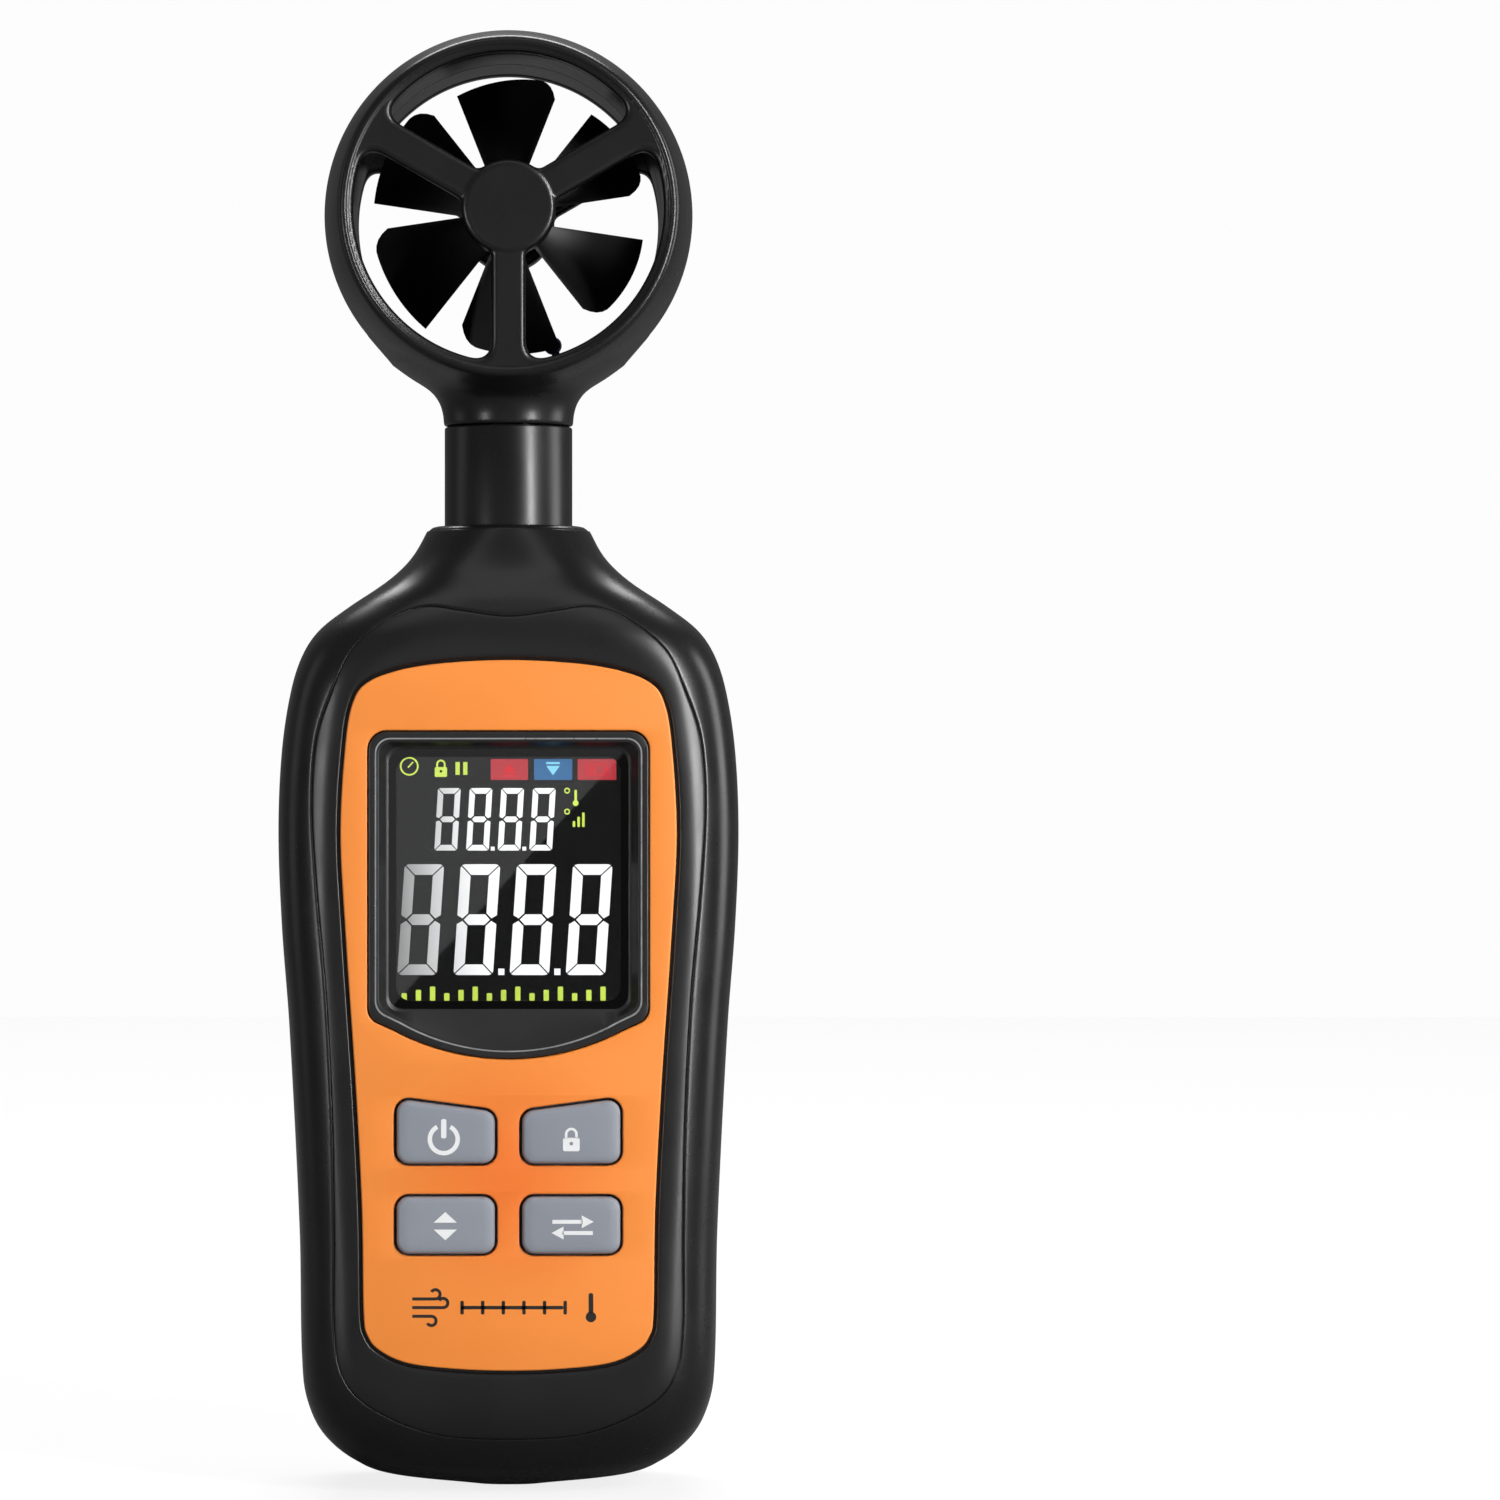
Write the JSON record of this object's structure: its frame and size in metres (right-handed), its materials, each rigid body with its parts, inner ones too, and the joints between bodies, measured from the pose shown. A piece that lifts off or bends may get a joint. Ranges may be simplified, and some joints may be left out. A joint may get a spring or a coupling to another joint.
{
  "type": "handheld weather meter",
  "caption": "Handheld vane thermo-anemometer with a swivelling ducted impeller head, colour display, press buttons and a rear battery door.",
  "frame": {"origin": "centre of the footprint of the upright meter, at its bottom end", "axes": "+Z along the meter from its bottom end to the vane head, -Y out of the display face, +X to the right of someone who reads the display"},
  "size_m": [0.0544, 0.0334, 0.172],
  "materials": {
    "black_abs": "satin moulded ABS",
    "black_rubber": "satin overmoulded rubber",
    "orange_panel": "satin painted panel",
    "gloss_black": "glossy",
    "clear_window": "clear hard-coated",
    "lcd": "black colour LCD",
    "foam": "foam",
    "ivory_plastic": "satin",
    "dark_plastic": "matte",
    "board_green": "solder mask",
    "steel": "plated",
    "cell_jacket": "printed jacket",
    "wire_red": "satin",
    "wire_black": "satin",
    "seal_rubber": "matte",
    "brass": "turned",
    "thermistor_blue": "dipped epoxy",
    "impeller_black": "satin",
    "magnet": "sintered",
    "button_grey": "satin"
  },
  "bodies": {
    "body": {"front_housing": "black_abs", "front_overmould": "black_rubber", "rear_housing": "black_abs", "rear_overmould": "black_rubber", "fascia_panel": "orange_panel", "display_bezel": "gloss_black", "display_window": "clear_window", "display_gasket": "foam", "lcd_panel": "lcd", "lcd_backlight": "ivory_plastic", "lcd_holder": "dark_plastic", "circuit_board": "board_green", "board_chips": "dark_plastic", "board_connector": "ivory_plastic", "buzzer": "dark_plastic", "board_screws": "steel", "switch_bodies": "dark_plastic", "housing_screws": "steel", "battery_cell_left": "cell_jacket", "battery_cell_middle": "cell_jacket", "battery_cell_right": "cell_jacket", "battery_springs": "steel", "battery_contacts": "steel", "battery_leads": "wire_red", "neck_tube": "black_abs", "neck_o_ring": "seal_rubber", "sensor_cable": "wire_black"},
    "head": {"head_front": "black_abs", "head_rear": "black_abs", "front_bearing": "brass", "rear_bearing": "brass", "hall_sensor": "dark_plastic", "sensor_lead": "wire_red", "thermistor": "thermistor_blue"},
    "impeller": {"impeller": "impeller_black", "impeller_shaft": "steel", "impeller_magnet": "magnet"},
    "button_power": {"button_power": "button_grey", "plunger_power": "ivory_plastic"},
    "button_hold": {"button_hold": "button_grey", "plunger_hold": "ivory_plastic"},
    "button_min_max": {"button_min_max": "button_grey", "plunger_min_max": "ivory_plastic"},
    "button_units": {"button_units": "button_grey", "plunger_units": "ivory_plastic"},
    "battery_door": {"battery_door": "black_abs", "door_pad": "foam"}
  },
  "joints": [
    {"name": "head_swivel", "type": "hinge", "parent": "body", "child": "head", "pos_m": [0, 0, 0.125], "axis": [0, 0, 1], "range_deg": [-90, 90]},
    {"name": "impeller_spin", "type": "hinge", "parent": "head", "child": "impeller", "pos_m": [0, 0, 0.1501], "axis": [0, 1, 0], "continuous": true},
    {"name": "button_power_press", "type": "slide", "parent": "body", "child": "button_power", "axis": [0, 1, 0], "range_m": [0, 0.0006], "stiffness_N_per_m": 1500, "springref_m": -0.0004},
    {"name": "button_hold_press", "type": "slide", "parent": "body", "child": "button_hold", "axis": [0, 1, 0], "range_m": [0, 0.0006], "stiffness_N_per_m": 1500, "springref_m": -0.0004},
    {"name": "button_min_max_press", "type": "slide", "parent": "body", "child": "button_min_max", "axis": [0, 1, 0], "range_m": [0, 0.0006], "stiffness_N_per_m": 1500, "springref_m": -0.0004},
    {"name": "button_units_press", "type": "slide", "parent": "body", "child": "button_units", "axis": [0, 1, 0], "range_m": [0, 0.0006], "stiffness_N_per_m": 1500, "springref_m": -0.0004},
    {"name": "battery_door_tilt", "type": "hinge", "parent": "body", "child": "battery_door", "pos_m": [0, 0.0159, 0.0155], "axis": [-1, 0, 0], "range_deg": [0, 60]}
  ]
}
